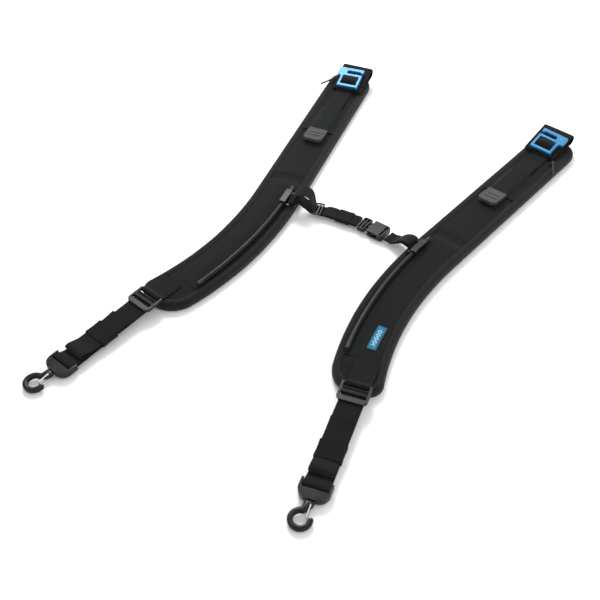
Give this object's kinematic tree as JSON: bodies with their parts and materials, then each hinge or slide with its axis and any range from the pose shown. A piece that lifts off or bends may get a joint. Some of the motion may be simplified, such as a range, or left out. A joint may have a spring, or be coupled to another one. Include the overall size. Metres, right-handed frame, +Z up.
{
  "type": "saxophone shoulder harness",
  "caption": "Padded two-strap shoulder harness with adjustable sternum strap, quick-release buckle, metal shoulder hooks and swivel snap hooks for carrying a saxophone.",
  "frame": {"origin": "centre of the laid-open harness's outline on the surface it lies on", "axes": "+Z up, +Y towards the shoulder hooks, +X towards the wearer's right-hand strap with the label"},
  "size_m": [0.4043, 0.7802, 0.038],
  "materials": {
    "binding_cloth": "matte knitted binding tape",
    "face_cloth": "fine diagonal rib weave",
    "spacer_mesh": "open spacer mesh",
    "foam": "closed-cell foam",
    "webbing": "woven nylon webbing, low sheen",
    "elastic": "ribbed elastic",
    "black_plastic": "moulded acetal, satin",
    "grey_plastic": "moulded grip, satin",
    "blue_metal": "anodised, satin",
    "steel_wire": "polished wire",
    "zip_tape": "coil zip, black",
    "label_cloth": "woven label",
    "rail_cover": "piping cloth over a cord"
  },
  "bodies": {
    "left_pad": {"left_pad_binding": "binding_cloth", "left_pad_mesh": "spacer_mesh", "left_pad_foam": "foam", "left_pad_face": "face_cloth", "left_cross_band": "face_cloth", "left_top_loop": "webbing", "left_zip_chain": "zip_tape", "left_rail": "rail_cover", "left_rail_panel": "face_cloth", "left_anchor_webbing": "webbing"},
    "left_lifter": {"left_lifter_webbing": "webbing", "left_grip": "grey_plastic"},
    "left_shoulder_hook": {"left_g_hook": "blue_metal", "left_hook_webbing": "webbing"},
    "left_slider": {"left_zip_slider": "steel_wire"},
    "left_pull": {"left_zip_pull": "zip_tape"},
    "left_clip": {"left_rail_clip": "black_plastic"},
    "left_ladder": {"left_ladder_lock": "black_plastic", "left_webbing_tail": "webbing"},
    "left_lower": {"left_lower_webbing": "webbing"},
    "left_keeper": {"left_elastic_keeper": "elastic"},
    "left_swivel": {"left_swivel_body": "black_plastic"},
    "left_snap": {"left_snap_hook": "black_plastic"},
    "left_wire_gate": {"left_gate": "steel_wire"},
    "right_pad": {"right_pad_binding": "binding_cloth", "right_pad_mesh": "spacer_mesh", "right_pad_foam": "foam", "right_pad_face": "face_cloth", "right_cross_band": "face_cloth", "right_top_loop": "webbing", "right_zip_chain": "zip_tape", "right_rail": "rail_cover", "right_rail_panel": "face_cloth", "right_anchor_webbing": "webbing", "woven_label": "label_cloth"},
    "right_lifter": {"right_lifter_webbing": "webbing", "right_grip": "grey_plastic"},
    "right_shoulder_hook": {"right_g_hook": "blue_metal", "right_hook_webbing": "webbing"},
    "right_slider": {"right_zip_slider": "steel_wire"},
    "right_pull": {"right_zip_pull": "zip_tape"},
    "right_clip": {"right_rail_clip": "black_plastic"},
    "right_ladder": {"right_ladder_lock": "black_plastic", "right_webbing_tail": "webbing"},
    "right_lower": {"right_lower_webbing": "webbing"},
    "right_keeper": {"right_elastic_keeper": "elastic"},
    "right_swivel": {"right_swivel_body": "black_plastic"},
    "right_snap": {"right_snap_hook": "black_plastic"},
    "right_wire_gate": {"right_gate": "steel_wire"},
    "sternum_left": {"strap_left": "webbing", "tail_loop": "webbing", "tri_glide": "black_plastic", "male_buckle": "black_plastic"},
    "sternum_right": {"strap_right": "webbing", "female_buckle": "black_plastic"},
    "front_prong_arm": {"front_prong": "black_plastic"},
    "back_prong_arm": {"back_prong": "black_plastic"},
    "sternum_elastic": {"sternum_keeper": "elastic"}
  },
  "joints": [
    {"name": "left_rail_slide", "type": "hinge", "parent": "left_pad", "child": "left_clip", "pos_m": [-0.672, -0.031, 0.01895], "axis": [0, 0, 1], "range_deg": [-18.3, 0.9]},
    {"name": "left_strap_pivot", "type": "hinge", "parent": "left_clip", "child": "sternum_left", "pos_m": [-0.09323, 0.05416, 0.02], "axis": [0, 0, 1], "range_deg": [-1, 18.5]},
    {"name": "buckle_release", "type": "slide", "parent": "sternum_left", "child": "sternum_right", "axis": [0.995, -0.1001, 0], "range_m": [0, 0.04]},
    {"name": "front_prong_pinch", "type": "hinge", "parent": "sternum_left", "child": "front_prong_arm", "pos_m": [0.01785, 0.06274, 0.0078], "axis": [0, 0, 1], "range_deg": [0, 6.5], "stiffness_Nm_per_rad": 0.05},
    {"name": "back_prong_pinch", "type": "hinge", "parent": "sternum_left", "child": "back_prong_arm", "pos_m": [0.01925, 0.07667, 0.0078], "axis": [0, 0, -1], "range_deg": [0, 6.5], "stiffness_Nm_per_rad": 0.05},
    {"name": "sternum_keeper_slide", "type": "slide", "parent": "sternum_left", "child": "sternum_elastic", "axis": [0.9982, 0.0608, 0], "range_m": [-0.005, 0.005]},
    {"name": "right_strap_pivot", "type": "hinge", "parent": "sternum_right", "child": "right_clip", "pos_m": [0.09323, 0.05416, 0.02], "axis": [0, 0, 1], "range_deg": [-1, 18.5]},
    {"name": "right_rail_slide", "type": "hinge", "parent": "right_clip", "child": "right_pad", "pos_m": [0.672, -0.031, 0.01895], "axis": [0, 0, 1], "range_deg": [-18.5, 1]},
    {"name": "left_lifter_pull", "type": "slide", "parent": "left_pad", "child": "left_lifter", "axis": [0.165, -0.9863, 0], "range_m": [0, 0.022]},
    {"name": "left_shoulder_hook_tilt", "type": "hinge", "parent": "left_lifter", "child": "left_shoulder_hook", "pos_m": [-0.16196, 0.32623, 0.0173], "axis": [0.9863, 0.165, 0], "range_deg": [0, 105]},
    {"name": "left_zip_slide", "type": "slide", "parent": "left_pad", "child": "left_slider", "axis": [0.165, -0.9863, 0], "range_m": [0, 0.073]},
    {"name": "left_zip_pull_flip", "type": "hinge", "parent": "left_slider", "child": "left_pull", "pos_m": [-0.18957, 0.35304, 0.0192], "axis": [-0.9239, 0.3827, 0], "range_deg": [0, 90]},
    {"name": "left_ladder_tilt", "type": "hinge", "parent": "left_pad", "child": "left_ladder", "pos_m": [-0.14595, -0.19525, 0.0196], "axis": [-0.9823, 0.1874, 0], "range_deg": [0, 60]},
    {"name": "left_length_slide", "type": "slide", "parent": "left_ladder", "child": "left_lower", "axis": [-0.1869, -0.9796, -0.0732], "range_m": [0, 0.035]},
    {"name": "left_keeper_slide", "type": "slide", "parent": "left_lower", "child": "left_keeper", "axis": [-0.1869, -0.9796, -0.0732], "range_m": [-0.01, 0.01]},
    {"name": "left_swivel_pitch", "type": "hinge", "parent": "left_lower", "child": "left_swivel", "pos_m": [-0.1723, -0.33338, 0.00927], "axis": [-0.9823, 0.1874, 0], "range_deg": [0, 80]},
    {"name": "left_snap_spin", "type": "hinge", "parent": "left_swivel", "child": "left_snap", "pos_m": [-0.17585, -0.35199, 0.00788], "axis": [-0.1869, -0.9796, -0.0732], "continuous": true},
    {"name": "left_gate_open", "type": "hinge", "parent": "left_snap", "child": "left_wire_gate", "pos_m": [-0.17444, -0.35795, 0.00747], "axis": [0.0137, 0.0719, -0.9973], "range_deg": [0, 25], "stiffness_Nm_per_rad": 0.02},
    {"name": "right_lifter_pull", "type": "slide", "parent": "right_pad", "child": "right_lifter", "axis": [-0.165, -0.9863, 0], "range_m": [0, 0.022]},
    {"name": "right_shoulder_hook_tilt", "type": "hinge", "parent": "right_lifter", "child": "right_shoulder_hook", "pos_m": [0.16196, 0.32623, 0.0173], "axis": [0.9863, -0.165, 0], "range_deg": [0, 105]},
    {"name": "right_zip_slide", "type": "slide", "parent": "right_pad", "child": "right_slider", "axis": [-0.165, -0.9863, 0], "range_m": [-0.034, 0.039]},
    {"name": "right_zip_pull_flip", "type": "hinge", "parent": "right_slider", "child": "right_pull", "pos_m": [0.18396, 0.31951, 0.0192], "axis": [-0.9239, -0.3827, 0], "range_deg": [0, 90]},
    {"name": "right_ladder_tilt", "type": "hinge", "parent": "right_pad", "child": "right_ladder", "pos_m": [0.14595, -0.19525, 0.0196], "axis": [-0.9823, -0.1874, 0], "range_deg": [0, 60]},
    {"name": "right_length_slide", "type": "slide", "parent": "right_ladder", "child": "right_lower", "axis": [0.1869, -0.9796, -0.0732], "range_m": [0, 0.035]},
    {"name": "right_keeper_slide", "type": "slide", "parent": "right_lower", "child": "right_keeper", "axis": [0.1869, -0.9796, -0.0732], "range_m": [-0.01, 0.01]},
    {"name": "right_swivel_pitch", "type": "hinge", "parent": "right_lower", "child": "right_swivel", "pos_m": [0.1723, -0.33338, 0.00927], "axis": [-0.9823, -0.1874, 0], "range_deg": [0, 80]},
    {"name": "right_snap_spin", "type": "hinge", "parent": "right_swivel", "child": "right_snap", "pos_m": [0.17585, -0.35199, 0.00788], "axis": [0.1869, -0.9796, -0.0732], "continuous": true},
    {"name": "right_gate_open", "type": "hinge", "parent": "right_snap", "child": "right_wire_gate", "pos_m": [0.17935, -0.35701, 0.00747], "axis": [-0.0137, 0.0719, -0.9973], "range_deg": [0, 25], "stiffness_Nm_per_rad": 0.02}
  ],
  "couplings": [
    {"joint": "left_strap_pivot", "follows": "left_rail_slide", "ratio": -1},
    {"joint": "right_strap_pivot", "follows": "left_rail_slide", "ratio": -1},
    {"joint": "right_rail_slide", "follows": "left_rail_slide", "ratio": 1}
  ]
}
